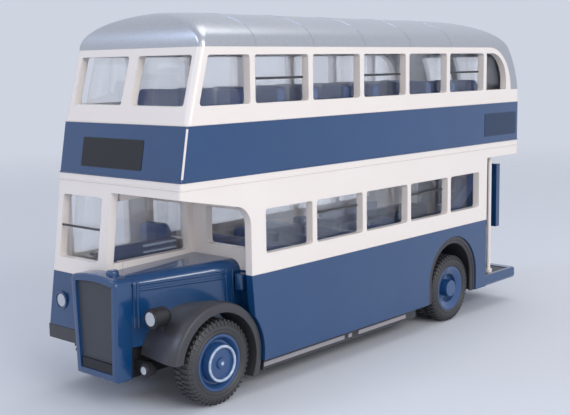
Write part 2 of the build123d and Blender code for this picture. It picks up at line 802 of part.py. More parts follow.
# Nearside headlamp on a foot that stands on the wing, and the fog lamp on an arm from the chassis
headlamp_place = (half_length - headlamp_set_back, bonnet_front_y + headlamp_out, lamp_z)
fog_place = (half_length - fog_set_back, rail_y + rail_width / 2 + fog_arm, fog_z)
with BuildPart() as nearside_headlamp:
    add(lamp_body(*headlamp_place, headlamp_radius, headlamp_lens, headlamp_depth))
    foot_front = headlamp_place[0] - lamp_foot_set_back
    block((foot_front - lamp_foot_length, foot_front),
          (headlamp_place[1] - lamp_foot_width / 2, headlamp_place[1] + lamp_foot_width / 2),
          (tyre_radius, lamp_z - headlamp_radius / 2))
    wheel_circle(front_axle_x, tyre_radius, wing_outer, half_width, half_width)
save(nearside_headlamp, "nearside_headlamp")
save(lamp_lens(*headlamp_place, headlamp_lens), "nearside_headlamp_lens")

with BuildPart() as fog_lamp:
    add(lamp_body(*fog_place, fog_radius, fog_lens, fog_depth))
    arm_front = fog_place[0] - fog_depth / 2
    block((arm_front - fog_arm_depth, arm_front), (rail_y + rail_width / 2, fog_place[1]),
          (fog_z - fog_arm_height / 2, fog_z + fog_arm_height / 2))
save(fog_lamp, "fog_lamp")
save(lamp_lens(*fog_place, fog_lens), "fog_lamp_lens")

# Offside headlamp: a bezel and lens seated on the cab front
offside_lamp = (front_between(skirt_row, waist_row, lamp_z), offside_lamp_set_in - half_width, lamp_z)
with BuildPart() as offside_headlamp:
    round_piece(offside_lamp[0] - lens_seat, *offside_lamp[1:], headlamp_radius, lens_seat + bezel_stand)
    round_piece(offside_lamp[0] - lens_seat, *offside_lamp[1:], headlamp_lens + fit_gap, radiator_depth,
                Mode.SUBTRACT)
    add(lower_panels.part, mode=Mode.SUBTRACT)
save(offside_headlamp, "offside_headlamp")

with BuildPart() as offside_headlamp_lens:
    add(lamp_lens(*offside_lamp, headlamp_lens).part)
    add(lower_panels.part, mode=Mode.SUBTRACT)
save(offside_headlamp_lens, "offside_headlamp_lens")

# Chassis: base plate, two long rails bored for the axles, gearbox, shaft and fuel tank
rail_inner = rail_y - rail_width / 2
rail_outer = rail_y + rail_width / 2
with BuildPart() as chassis:
    rail_span = (entrance_x + loose_gap, radiator_x - 2 * fit_gap)
    plate_z = (chassis_floor_z, chassis_top_z)
    block((rail_span[0], bulkhead_x - loose_gap), (-glass_y, glass_y), plate_z)
    block((bulkhead_x - wall, rail_span[1]), (-rail_outer, rail_outer), plate_z)
    for side in (1, -1):
        block(wheel_box_x, mirrored_span(side, wheel_box_y, half_width), (0, chassis_top_z), Mode.SUBTRACT)
        block(rail_span, mirrored_span(side, rail_inner, rail_outer), (rail_low_z, chassis_floor_z))
    gearbox_x = (gearbox_front - gearbox_length, gearbox_front)
    block(gearbox_x, (gearbox_gap - rail_inner, rail_inner - gearbox_gap), (gearbox_low_z, chassis_floor_z))
    shaft_end = rear_axle_x + axle_radius + shaft_end_gap
    round_piece(shaft_end, 0, tyre_radius, shaft_radius, gearbox_x[0] - shaft_end)
    block((shaft_end, shaft_end + 2 * shaft_radius), (-shaft_radius, shaft_radius),
          (tyre_radius, chassis_floor_z))
    with BuildSketch(side_plane(-rail_outer - tank_gap)) as tank:
        with Locations((tank_front - tank_length / 2, (tank_low_z + chassis_floor_z) / 2)):
            RectangleRounded(tank_length, chassis_floor_z - tank_low_z, tank_corner)
    extrude(tank.sketch, amount=glass_y - side_rail_width - side_rail_set_in - rail_outer - tank_gap)
    block((tank_front - tank_length + tank_corner, tank_front - tank_corner),
          (-rail_outer - 2 * tank_gap, -rail_outer - tank_gap),
          (chassis_floor_z - tank_corner, chassis_floor_z))
    for axle_x in (front_axle_x, rear_axle_x):
        with Locations(Location((axle_x, 0, tyre_radius), (90, 0, 0))):
            Cylinder(axle_radius + axle_clearance, width, mode=Mode.SUBTRACT)
save(chassis, "chassis")

# Side rails hung under the skirt, each on its brackets
rail_x = (wheel_box_x[1] + wall, bulkhead_x - wall)
for name, side in (("nearside_side_rail", 1), ("offside_side_rail", -1)):
    with BuildPart() as side_rail:
        outer_y = half_width - side_rail_set_in
        y_span = mirrored_span(side, outer_y - side_rail_width, outer_y)
        block(rail_x, y_span, (side_rail_low_z, side_rail_high_z))
        for bracket in range(bracket_count):
            bracket_x = rail_x[0] + (bracket + 0.5) * (rail_x[1] - rail_x[0]) / bracket_count
            block((bracket_x - bracket_width / 2, bracket_x + bracket_width / 2), y_span,
                  (side_rail_high_z, chassis_floor_z))
    save(side_rail, name)

# Rear arch liners: a band inside each rear opening
for name, side in (("nearside_arch_liner", 1), ("offside_arch_liner", -1)):
    y_span = mirrored_span(side, wheel_box_y + loose_gap, half_width - liner_set_in)
    with BuildPart() as liner:
        wheel_circle(rear_axle_x, rear_arch_z, rear_arch_radius - fit_gap, y_span[1], y_span[1] - y_span[0],
                     Mode.ADD)
        block((rear_axle_x - rear_arch_radius + fit_gap, rear_axle_x + rear_arch_radius - fit_gap), y_span,
              (skirt_z, rear_arch_z))
        inside = rear_arch_radius - liner_thickness
        wheel_circle(rear_axle_x, rear_arch_z, inside, half_width, width)
        block((rear_axle_x - inside, rear_axle_x + inside), (-half_width, half_width),
              (-rear_arch_radius, rear_arch_z), Mode.SUBTRACT)
        block((rear_x, half_length), (-half_width, half_width), (-rear_arch_radius, skirt_z), Mode.SUBTRACT)
    save(liner, name)

# Platform: a rimmed step with a rounded outer corner, a tread mat and the handrail pole
platform_front = entrance_x - fit_gap
panel_inside = rear_x + wall + fit_gap
with BuildPart() as platform:
    with BuildSketch(Plane.XY.offset(platform_low_z)) as platform_plan:
        Polygon((platform_front, half_width), (rear_x, half_width), (rear_x, stair_opening_y + fit_gap),
                (panel_inside, stair_opening_y + fit_gap), (panel_inside, -glass_y),
                (platform_front, -glass_y), align=None)
        fillet(platform_plan.vertices().group_by(Axis.Y)[-1].sort_by(Axis.X)[0], platform_corner)
    extrude(amount=platform_top_z - platform_low_z)
    for face, radius in ((0, platform_edge), (-1, platform_lip)):
        rim = platform.faces().sort_by(Axis.Z)[face].edges().filter_by(
            lambda edge: edge.center().Y > half_width - fit_gap
            or edge.center().X < rear_x + platform_corner and edge.center().Y > stair_opening_y + wall)
        fillet(rim, radius)
    tread_x = (rear_x + wall + platform_rim, entrance_x - platform_rim)
    block(tread_x, (0, half_width - platform_rim), (platform_top_z - tread_depth, platform_top_z),
          Mode.SUBTRACT)
save(platform, "platform")

with BuildPart() as platform_tread:
    block((tread_x[0] + fit_gap, tread_x[1] - fit_gap), (fit_gap, half_width - platform_rim - fit_gap),
          (platform_top_z - tread_depth, platform_top_z - tread_sunk))
save(platform_tread, "platform_tread")

with BuildPart() as platform_pole:
    pole_foot = platform_top_z - tread_sunk
    upright = (Align.CENTER, Align.CENTER, Align.MIN)
    with Locations((entrance_x - pole_set_in_x, half_width - pole_set_in_y, pole_foot)):
        Cylinder(pole_radius, deck_low_z - pole_foot, align=upright)
        Cylinder(pole_radius + pole_collar, pole_collar_height, align=upright)
save(platform_pole, "platform_pole")

# Driver's seat with a rounded back, and the steering wheel on its column
driver_floor_z = tyre_radius + wing_outer + 2 * fit_gap
driver_x = bulkhead_x + driver_set_back
driver_y = (glass + driver_seat_gap - glass_y, -radiator_top_half - driver_seat_gap)
driver_middle_y = (driver_y[0] + driver_y[1]) / 2
with BuildPart() as driver_seat:
    block((driver_x, driver_x + driver_seat_depth), driver_y,
          (driver_floor_z, driver_floor_z + driver_cushion_rise))
    with BuildSketch(front_plane(driver_x)) as back:
        with Locations((driver_middle_y, driver_floor_z + driver_back_rise / 2)):
            RectangleRounded(driver_y[1] - driver_y[0], driver_back_rise, driver_back_corner)
    extrude(back.sketch, amount=driver_back)
save(driver_seat, "driver_seat")

with BuildPart() as steering_wheel:
    wheel_place = (half_length - steering_set_back, driver_middle_y, waist_z + steering_rise)
    with Locations(Location(wheel_place, (0, steering_tilt, 0))):
        Torus(steering_radius, steering_rim)
        Cylinder(column_radius, steering_column, align=(Align.CENTER, Align.CENTER, Align.MAX))
        Box(2 * steering_radius, column_radius, column_radius)
    add(offside_front_wing.part, mode=Mode.SUBTRACT)
save(steering_wheel, "steering_wheel")


def turned(axle_x, rows):
    # A body of revolution about an axle, from rows of (radius, y) that run round its half section
    with BuildPart() as form:
        with BuildSketch(Plane((axle_x, 0, tyre_radius))) as section:
            Polygon(*rows, align=None)
        revolve(section.sketch, axis=Axis((axle_x, 0, tyre_radius), (0, 1, 0)))
    return form


def tyre_form(axle_x, inner_y, outer_y, grooved):
    # A tyre with rounded shoulders, and a groove round a pair of twins
    middle_y = (inner_y + outer_y) / 2
    with BuildPart() as form:
        with BuildSketch(Plane((axle_x, 0, tyre_radius))) as section:
            with Locations(((tyre_radius + rim_radius) / 2, middle_y)):
                Rectangle(tyre_radius - rim_radius, abs(outer_y - inner_y))
            fillet(section.vertices().group_by(Axis.X)[-1], tyre_shoulder)
            if grooved:
                with Locations((tyre_radius, middle_y)):
                    Rectangle(2 * twin_groove_depth, twin_groove_width, mode=Mode.SUBTRACT)
        revolve(section.sketch, axis=Axis((axle_x, 0, tyre_radius), (0, 1, 0)))
    return form


# Axles, wheels and tyres: rows of (name, axle x, tyre width, disc, twin tyres)
axle_rows = (("front", front_axle_x, front_tyre_width, front_disc, False),
             ("rear", rear_axle_x, rear_tyre_width, rear_disc, True))
for name, axle_x, tyre_width, disc, twins in axle_rows:
    inner_y = track_half - tyre_width
    with BuildPart() as axle:
        with Locations(Location((axle_x, 0, tyre_radius), (90, 0, 0))):
            Cylinder(axle_radius, 2 * inner_y)
    save(axle, f"{name}_axle")
    for side_name, side in (("nearside", 1), ("offside", -1)):
        face = [(radius, side * (track_half - depth)) for radius, depth in disc]
        section = [(rim_radius, side * inner_y), *face, (0, side * inner_y)]
        save(turned(axle_x, section), f"{side_name}_{name}_wheel")
        save(tyre_form(axle_x, side * inner_y, side * track_half, twins), f"{side_name}_{name}_tyre")
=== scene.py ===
import math

import bmesh
import bpy
from mathutils import Matrix, Vector


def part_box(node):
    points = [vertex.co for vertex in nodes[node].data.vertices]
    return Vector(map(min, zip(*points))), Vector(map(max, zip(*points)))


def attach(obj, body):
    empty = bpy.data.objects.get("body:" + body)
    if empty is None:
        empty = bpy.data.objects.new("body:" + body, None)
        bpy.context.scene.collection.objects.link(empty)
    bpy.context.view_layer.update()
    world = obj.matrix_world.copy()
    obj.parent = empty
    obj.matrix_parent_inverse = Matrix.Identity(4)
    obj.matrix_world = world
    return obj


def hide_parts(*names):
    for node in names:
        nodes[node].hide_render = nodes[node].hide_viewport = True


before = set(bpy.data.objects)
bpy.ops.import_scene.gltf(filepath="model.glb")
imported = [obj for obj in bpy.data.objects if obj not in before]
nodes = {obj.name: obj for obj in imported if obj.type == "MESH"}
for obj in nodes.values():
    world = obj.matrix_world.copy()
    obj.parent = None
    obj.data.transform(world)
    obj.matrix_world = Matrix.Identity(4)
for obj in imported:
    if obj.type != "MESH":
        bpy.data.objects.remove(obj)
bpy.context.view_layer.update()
scene = bpy.context.scene
mm = 0.001  # every size below is in millimetres, as on the drawing
weld = 0.002  # points closer than this are merged
near = 0.01  # slack when edges and faces are picked by their place
parallel = 0.99  # cosine above which two directions count as one
alongX, alongY, alongZ = Vector((1, 0, 0)), Vector((0, 1, 0)), Vector((0, 0, 1))
sides = {"nearside": 1, "offside": -1}  # with the way that each looks along Y
axles = ("front", "rear")
print("frame loaded:", len(nodes), "CAD pieces")

# camera at the photograph's angle
cameraView = {
    "eye": (142.16938, 121.38240, 52.27756),
    "forward": (-0.73440814, -0.66354074, -0.14268275),
    "down": (0.11684449, 0.08347998, -0.98963552),
    "focalPixels": 987.313,
    "imageWidth": 570,
    "sensor": 36.0,
    "nearClip": 5,
    "farClip": 20000,
}
cameraData = bpy.data.cameras.new("photoCamera")
cameraData.sensor_width = cameraView["sensor"]
cameraData.lens = cameraView["focalPixels"] * cameraView["sensor"] / cameraView["imageWidth"]
cameraData.clip_start = cameraView["nearClip"] * mm
cameraData.clip_end = cameraView["farClip"] * mm
camera = bpy.data.objects.new("photoCamera", cameraData)
scene.collection.objects.link(camera)
backward = -Vector(cameraView["forward"])
upward = -Vector(cameraView["down"])
sideways = upward.cross(backward)
turned = Matrix((sideways, upward, backward)).transposed().to_4x4()
camera.matrix_world = Matrix.Translation(Vector(cameraView["eye"]) * mm) @ turned
scene.camera = camera
scene.view_settings.view_transform = "Standard"
print("camera placed")


def linearColour(hexCode):
    # sRGB hex to the linear colour that the shader wants
    parts = [int(hexCode[i:i + 2], 16) / 255 for i in (1, 3, 5)]
    return (*[c / 12.92 if c <= 0.04045 else ((c + 0.055) / 1.055) ** 2.4 for c in parts], 1.0)


def addNode(tree, kind, settings=None, links=None):
    # one node, with its own settings, and its inputs given as values or as sockets to link
    node = tree.nodes.new(kind)
    for name, value in (settings or {}).items():
        setattr(node, name, value)
    for name, value in (links or {}).items():
        if isinstance(value, bpy.types.NodeSocket):
            tree.links.new(value, node.inputs[name])
        else:
            node.inputs[name].default_value = value
    return node


def newMaterial(name):
    material = bpy.data.materials.new(name)
    material.use_nodes = True
    tree = material.node_tree
    return material, tree, tree.nodes["Principled BSDF"]


def waveScale(pitch):
    # the scale at which a wave texture repeats once in every pitch
    return math.pi / (10 * pitch * mm)


def boxOf(node):
    # lowest and highest corner of a CAD piece, in millimetres
    low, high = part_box(node)
    return low / mm, high / mm


def outerFace(low, high, way):
    # where a box ends along Y, on the side that the way points to
    return high.y if way > 0 else low.y


def paint(material, *names):
    for name in names:
        slots = nodes[name].data.materials
        slots.clear()
        slots.append(material)


def glossEnamel(name, deep, light, roughness, shade=9.0):
    # gloss enamel sprayed on zinc alloy: even colour, a wet-looking coat, a faint orange peel,
    # and edges rounded over by the paint
    enamel = {"peel": 0.9, "peelHeight": 0.008, "peelStrength": 0.35, "edge": 0.16, "edgeSamples": 4,
              "coat": 0.8, "coatRoughness": 0.03}
    material, tree, shader = newMaterial(name)
    place = addNode(tree, "ShaderNodeTexCoord").outputs["Object"]
    cloud = addNode(tree, "ShaderNodeTexNoise", None,
                    {"Vector": place, "Scale": 1 / (shade * mm), "Detail": 2.0})
    colour = addNode(tree, "ShaderNodeMix", {"data_type": "RGBA"},
                     {"Factor": cloud.outputs["Fac"], 6: linearColour(deep), 7: linearColour(light)})
    peel = addNode(tree, "ShaderNodeTexNoise", None,
                   {"Vector": place, "Scale": 1 / (enamel["peel"] * mm), "Detail": 1.0})
    edge = addNode(tree, "ShaderNodeBevel", {"samples": enamel["edgeSamples"]},
                   {"Radius": enamel["edge"] * mm})
    bump = addNode(tree, "ShaderNodeBump", None,
                   {"Height": peel.outputs["Fac"], "Normal": edge.outputs["Normal"],
                    "Strength": enamel["peelStrength"], "Distance": enamel["peelHeight"] * mm})
    tree.links.new(colour.outputs[2], shader.inputs["Base Color"])
    tree.links.new(bump.outputs["Normal"], shader.inputs["Normal"])
    shader.inputs["Roughness"].default_value = roughness
    shader.inputs["Coat Weight"].default_value = enamel["coat"]
    shader.inputs["Coat Roughness"].default_value = enamel["coatRoughness"]
    return material


blueEnamel = glossEnamel("blueEnamel", "#0D3D6D", "#134575", 0.24)
creamEnamel = glossEnamel("creamEnamel", "#F0E6DF", "#F4EBE5", 0.36)
wheelEnamel = glossEnamel("wheelEnamel", "#1F4676", "#264E80", 0.3)
highlightEnamel = glossEnamel("highlightEnamel", "#6F8BB3", "#D9E1EC", 0.32, 0.8)  # pale paint for painted highlights on the wheel rings, hub spots and cover rails, broken up in small patches


def mouldedPlastic(name, deep, light, roughness, grit):
    # moulded styrene, and rubber and card with the same dull sheen: a faintly clouded colour under
    # the fine grit of a spark-eroded tool
    moulding = {"shade": 5.0, "gritHeight": 0.03, "gritStrength": 0.4}
    material, tree, shader = newMaterial(name)
    place = addNode(tree, "ShaderNodeTexCoord").outputs["Object"]
    cloud = addNode(tree, "ShaderNodeTexNoise", None,
                    {"Vector": place, "Scale": 1 / (moulding["shade"] * mm), "Detail": 3.0})
    colour = addNode(tree, "ShaderNodeMix", {"data_type": "RGBA"},
                     {"Factor": cloud.outputs["Fac"], 6: linearColour(deep), 7: linearColour(light)})
    grain = addNode(tree, "ShaderNodeTexNoise", None,
                    {"Vector": place, "Scale": 1 / (grit * mm), "Detail": 2.0})
    bump = addNode(tree, "ShaderNodeBump", None,
                   {"Height": grain.outputs["Fac"], "Strength": moulding["gritStrength"],
                    "Distance": moulding["gritHeight"] * mm})
    tree.links.new(colour.outputs[2], shader.inputs["Base Color"])
    tree.links.new(bump.outputs["Normal"], shader.inputs["Normal"])
    shader.inputs["Roughness"].default_value = roughness
    return material


seatStyrene = mouldedPlastic("seatStyrene", "#3A5688", "#446094", 0.42, 0.5)
blackStyrene = mouldedPlastic("blackStyrene", "#232326", "#2B2B2E", 0.42, 0.35)
charcoalStyrene = mouldedPlastic("charcoalStyrene", "#3B3B3F", "#444448", 0.36, 0.4)
tyreRubber = mouldedPlastic("tyreRubber", "#37373A", "#434346", 0.5, 0.45)
coverStyrene = mouldedPlastic("coverStyrene", "#424D6A", "#4C5774", 0.36, 0.4)
blindCard = mouldedPlastic("blindCard", "#0F1115", "#15171B", 0.45, 0.4)
# the side rails' pale upper strip: painted light on the rail's lit top
railLitStyrene = mouldedPlastic("railLitStyrene", "#9E989C", "#A8A2A6", 0.4, 0.4)
sideCard = mouldedPlastic("sideCard", "#1F3450", "#243A58", 0.4, 0.4)


def silverLacquer():
    # aluminium-flake lacquer: metal sheen broken by fine flakes, drawn at 0.3 mm so that they show
    flake = {"size": 0.3, "low": "#B4B7BC", "high": "#CBCDD0", "metal": 0.8, "roughness": 0.3,
             "coat": 0.3, "coatRoughness": 0.12}
    material, tree, shader = newMaterial("silverLacquer")
    place = addNode(tree, "ShaderNodeTexCoord").outputs["Object"]
    cells = addNode(tree, "ShaderNodeTexNoise", None,
                    {"Vector": place, "Scale": 1 / (flake["size"] * mm), "Detail": 2.0})
    colour = addNode(tree, "ShaderNodeMix", {"data_type": "RGBA"},
                     {"Factor": cells.outputs["Fac"],
                      6: linearColour(flake["low"]), 7: linearColour(flake["high"])})
    tree.links.new(colour.outputs[2], shader.inputs["Base Color"])
    shader.inputs["Metallic"].default_value = flake["metal"]
    shader.inputs["Roughness"].default_value = flake["roughness"]
    shader.inputs["Coat Weight"].default_value = flake["coat"]
    shader.inputs["Coat Roughness"].default_value = flake["coatRoughness"]
    return material


def clearStyrene():
    # clear crystal styrene: sharp reflections and a slight cool tint, a little uneven from the mould;
    # the pane is thin, so its alpha lets most light straight through
    pane = {"wave": 6.0, "waveHeight": 0.01, "waveStrength": 0.3, "tint": "#F2F6FA", "roughness": 0.03,
            "bend": 1.45, "alpha": 0.2}
    material, tree, shader = newMaterial("clearStyrene")
    place = addNode(tree, "ShaderNodeTexCoord").outputs["Object"]
    wave = addNode(tree, "ShaderNodeTexNoise", None,
                   {"Vector": place, "Scale": 1 / (pane["wave"] * mm), "Detail": 1.0})
    bump = addNode(tree, "ShaderNodeBump", None,
                   {"Height": wave.outputs["Fac"], "Strength": pane["waveStrength"],
                    "Distance": pane["waveHeight"] * mm})
    tree.links.new(bump.outputs["Normal"], shader.inputs["Normal"])
    shader.inputs["Base Color"].default_value = linearColour(pane["tint"])
    shader.inputs["Roughness"].default_value = pane["roughness"]
    shader.inputs["IOR"].default_value = pane["bend"]
    shader.inputs["Transmission Weight"].default_value = 1.0
    shader.inputs["Alpha"].default_value = pane["alpha"]
    return material


def grilleGauze():
    # printed wire gauze: dark grey with a fine square mesh, drawn at 0.4 mm so that it shows
    gauze = {"pitch": 0.4, "hollow": "#34363C", "wire": "#44474F", "wireHeight": 0.05,
             "wireStrength": 0.5, "roughness": 0.5}
    material, tree, shader = newMaterial("grilleGauze")
    place = addNode(tree, "ShaderNodeTexCoord").outputs["Object"]
    upright = addNode(tree, "ShaderNodeTexWave", {"bands_direction": "Y"},
                      {"Vector": place, "Scale": waveScale(gauze["pitch"])})
    level = addNode(tree, "ShaderNodeTexWave", {"bands_direction": "Z"},
                    {"Vector": place, "Scale": waveScale(gauze["pitch"])})
    mesh = addNode(tree, "ShaderNodeMath", {"operation": "MAXIMUM"},
                   {0: upright.outputs["Fac"], 1: level.outputs["Fac"]})
    colour = addNode(tree, "ShaderNodeMix", {"data_type": "RGBA"},
                     {"Factor": mesh.outputs["Value"],
                      6: linearColour(gauze["hollow"]), 7: linearColour(gauze["wire"])})
    bump = addNode(tree, "ShaderNodeBump", None,
                   {"Height": mesh.outputs["Value"], "Strength": gauze["wireStrength"],
                    "Distance": gauze["wireHeight"] * mm})
    tree.links.new(colour.outputs[2], shader.inputs["Base Color"])
    tree.links.new(bump.outputs["Normal"], shader.inputs["Normal"])
    shader.inputs["Roughness"].default_value = gauze["roughness"]
    return material


def silveredLens():
    # frosted lamp glass: pale, slightly ribbed, with a soft gleam
    lens = {"pitch": 0.35, "ribHeight": 0.03, "ribStrength": 0.4, "colour": "#C6CAD0", "metal": 0.15,
            "roughness": 0.25}
    material, tree, shader = newMaterial("silveredLens")
    place = addNode(tree, "ShaderNodeTexCoord").outputs["Object"]
    ribs = addNode(tree, "ShaderNodeTexWave", {"bands_direction": "Y"},
                   {"Vector": place, "Scale": waveScale(lens["pitch"])})
    bump = addNode(tree, "ShaderNodeBump", None,
                   {"Height": ribs.outputs["Fac"], "Strength": lens["ribStrength"],
                    "Distance": lens["ribHeight"] * mm})
    tree.links.new(bump.outputs["Normal"], shader.inputs["Normal"])
    shader.inputs["Base Color"].default_value = linearColour(lens["colour"])
    shader.inputs["Metallic"].default_value = lens["metal"]
    shader.inputs["Roughness"].default_value = lens["roughness"]
    return material


def turnedSteel():
    # drawn steel rod: a grey metal gleam with fine rings round it
    rod = {"pitch": 0.3, "ringHeight": 0.02, "ringStrength": 0.2, "colour": "#A9ABAE", "roughness": 0.3}
    material, tree, shader = newMaterial("turnedSteel")
    place = addNode(tree, "ShaderNodeTexCoord").outputs["Object"]
    rings = addNode(tree, "ShaderNodeTexWave", {"bands_direction": "Y"},
                    {"Vector": place, "Scale": waveScale(rod["pitch"])})
    bump = addNode(tree, "ShaderNodeBump", None,
                   {"Height": rings.outputs["Fac"], "Strength": rod["ringStrength"],
                    "Distance": rod["ringHeight"] * mm})
    tree.links.new(bump.outputs["Normal"], shader.inputs["Normal"])
    shader.inputs["Base Color"].default_value = linearColour(rod["colour"])
    shader.inputs["Metallic"].default_value = 1.0
    shader.inputs["Roughness"].default_value = rod["roughness"]
    return material


silverRoof = silverLacquer()
clearWindow = clearStyrene()
wireGauze = grilleGauze()
lampGlass = silveredLens()
axleSteel = turnedSteel()

paint(blueEnamel, "lower_panels", "deck_band", "rear_panel", "bonnet", "radiator_shell", "platform",
      "offside_headlamp")
paint(creamEnamel, "lower_window_band", "upper_window_band", "upper_floor", "platform_pole")
paint(silverRoof, "roof")
paint(seatStyrene, "upper_seats", "lower_seats", "driver_seat", "staircase")
paint(clearWindow, "upper_glazing", "lower_glazing", "cab_glazing")
paint(wireGauze, "radiator_grille")
paint(charcoalStyrene, "nearside_front_wing", "offside_front_wing", "nearside_side_rail",
      "offside_side_rail", "nearside_arch_liner", "offside_arch_liner")
paint(blackStyrene, "steering_wheel", "nearside_headlamp", "fog_lamp", "chassis", "platform_tread")
paint(lampGlass, "nearside_headlamp_lens", "fog_lamp_lens", "offside_headlamp_lens")
paint(axleSteel, "front_axle", "rear_axle")
for axle in axles:
    for side in sides:
        paint(wheelEnamel, side + "_" + axle + "_wheel")
print("materials set")

# how many flats stand for a round
flats = {"bead": 10, "dome": 16, "domeRings": 8, "can": 28, "edge": 4, "crown": 7}


def addPiece(name, shape, body, material, sharp=35):
    # closes a bmesh drawn in millimetres into a piece that rides on a body
    bmesh.ops.remove_doubles(shape, verts=shape.verts, dist=weld)
    bmesh.ops.recalc_face_normals(shape, faces=shape.faces)
    bmesh.ops.scale(shape, vec=(mm, mm, mm), verts=shape.verts)
    data = bpy.data.meshes.new(name)
    shape.to_mesh(data)
    shape.free()
    data.materials.append(material)
    data.shade_smooth()
    data.set_sharp_from_angle(angle=math.radians(sharp))
    piece = bpy.data.objects.new(name, data)
    scene.collection.objects.link(piece)
    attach(piece, body)
    return piece


def solidCopy(node):
    # the mesh of a CAD piece, copied in millimetres with its doubled points merged
    shape = bmesh.new()
    shape.from_mesh(nodes[node].data)
    bmesh.ops.scale(shape, vec=(1 / mm, 1 / mm, 1 / mm), verts=shape.verts)
    bmesh.ops.remove_doubles(shape, verts=shape.verts, dist=weld)
    return shape


def joinShapes(shape, part):
    # carries one bmesh over into another
    spare = bpy.data.meshes.new("spare")
    part.to_mesh(spare)
    part.free()
    shape.from_mesh(spare)
    bpy.data.meshes.remove(spare)


def roundOver(shape, edges, offset, segments):
    bmesh.ops.bevel(shape, geom=list(edges), offset=offset, segments=segments, profile=0.5, affect="EDGES",
                    material=-1)


def cutAway(shape, place, outward):
    # cuts off what lies beyond a plane and gives back the parts along the cut
    everything = shape.verts[:] + shape.edges[:] + shape.faces[:]
    return bmesh.ops.bisect_plane(shape, geom=everything, plane_co=place, plane_no=outward,
                                  clear_outer=True)["geom_cut"]


def addOutline(shape, places, closed=True):
    # points joined by edges in their order, ready to be spun
    points = [shape.verts.new(place) for place in places]
    ends = points[1:] + points[:1] if closed else points[1:]
    return points + [shape.edges.new(pair) for pair in zip(points, ends)]


def spinRound(shape, outline, centre, axis, steps):
    bmesh.ops.spin(shape, geom=outline, cent=centre, axis=axis, angle=2 * math.pi, steps=steps,
                   use_merge=True, use_duplicate=False)


def addRing(shape, centre, axis, radius, wire, segments, steps):
    # a round wire bent into a ring about a level axis
    turned = (Matrix.Translation(Vector(centre) + radius * alongZ)
              @ Matrix.Rotation(math.pi / 2, 4, axis))
    made = bmesh.ops.create_circle(shape, segments=segments, radius=wire, matrix=turned)["verts"]
    loop = {edge for vertex in made for edge in vertex.link_edges}
    spinRound(shape, made + list(loop), centre, axis, steps)


def addBead(shape, points, radius):
    # a round bead along a path: a circle is extruded from corner to corner and mitred there
    path = [Vector(point) for point in points]
    runs = [(end - start).normalized() for start, end in zip(path, path[1:])]
    turned = Matrix.Translation(path[0]) @ runs[0].to_track_quat("Z", "Y").to_matrix().to_4x4()
    ring = bmesh.ops.create_circle(shape, cap_ends=True, segments=flats["bead"], radius=radius,
                                   matrix=turned)["verts"]
    for index, run in enumerate(runs):
        facing = run + runs[min(index + 1, len(runs) - 1)]
        rim = [edge for edge in shape.edges if edge.verts[0] in ring and edge.verts[1] in ring]
        grown = bmesh.ops.extrude_edge_only(shape, edges=rim)["geom"]
        ring = [part for part in grown if isinstance(part, bmesh.types.BMVert)]
        for vertex in ring:
            vertex.co += run * ((path[index + 1] - vertex.co).dot(facing) / run.dot(facing))
    bmesh.ops.contextual_create(shape, geom=ring)


def addPlate(shape, turned, size, corner):
    # a thin plate with rounded corners; its face looks along local X
    block = bmesh.ops.create_cube(shape, size=1.0, matrix=turned @ Matrix.Diagonal((*size, 1.0)))["verts"]
    outward = turned.to_3x3() @ alongX
    edges = {edge for vertex in block for edge in vertex.link_edges}
    posts = [edge for edge in edges
             if abs((edge.verts[1].co - edge.verts[0].co).normalized().dot(outward)) > parallel]
    roundOver(shape, posts, corner, flats["edge"])


def addBlock(shape, xSpan, ySpan, zSpan):
    # a block between three pairs of sides, whose edges are rounded over later
    spans = (xSpan, ySpan, zSpan)
    middle = [sum(span) / 2 for span in spans]
    size = [high - low for low, high in spans]
    bmesh.ops.create_cube(shape, size=1.0, matrix=Matrix.Translation(middle) @ Matrix.Diagonal((*size, 1.0)))


def addDome(shape, centre, outward, radius, rise):
    # a low round-headed stud: a ball flattened along the way it faces
    turned = Matrix.Translation(Vector(centre)) @ outward.to_track_quat("Z", "Y").to_matrix().to_4x4()
    bmesh.ops.create_uvsphere(shape, u_segments=flats["dome"], v_segments=flats["domeRings"], radius=1.0,
                              matrix=turned @ Matrix.Diagonal((radius, radius, rise, 1.0)))


def addCan(shape, centre, radius, lowZ, highZ, soft):
    # an upright round can with its top and bottom edges rounded over
    made = bmesh.ops.create_cone(shape, cap_ends=True, cap_tris=False, segments=flats["can"], radius1=radius,
                                 radius2=radius, depth=highZ - lowZ,
                                 matrix=Matrix.Translation((*centre, (lowZ + highZ) / 2)))["verts"]
    rims = {edge for vertex in made for edge in vertex.link_edges
            if abs(edge.verts[0].co.z - edge.verts[1].co.z) < near}
    roundOver(shape, rims, soft, flats["edge"])


# tyres: a section spun round the axle, with every second tread face raised as a lug
tyre = {"lugs": 46, "lugHeight": 0.3, "lugTaper": 0.05, "shoulderLug": 0.16, "shoulderTaper": 0.04,
        "shoulderDrop": 0.62, "shoulderRun": 0.5, "wallBulge": 0.14, "wallGroove": 0.12, "grooveHalf": 0.22,
        "rimStep": 0.1, "crownSlack": 0.1, "twinGroove": 0.7}


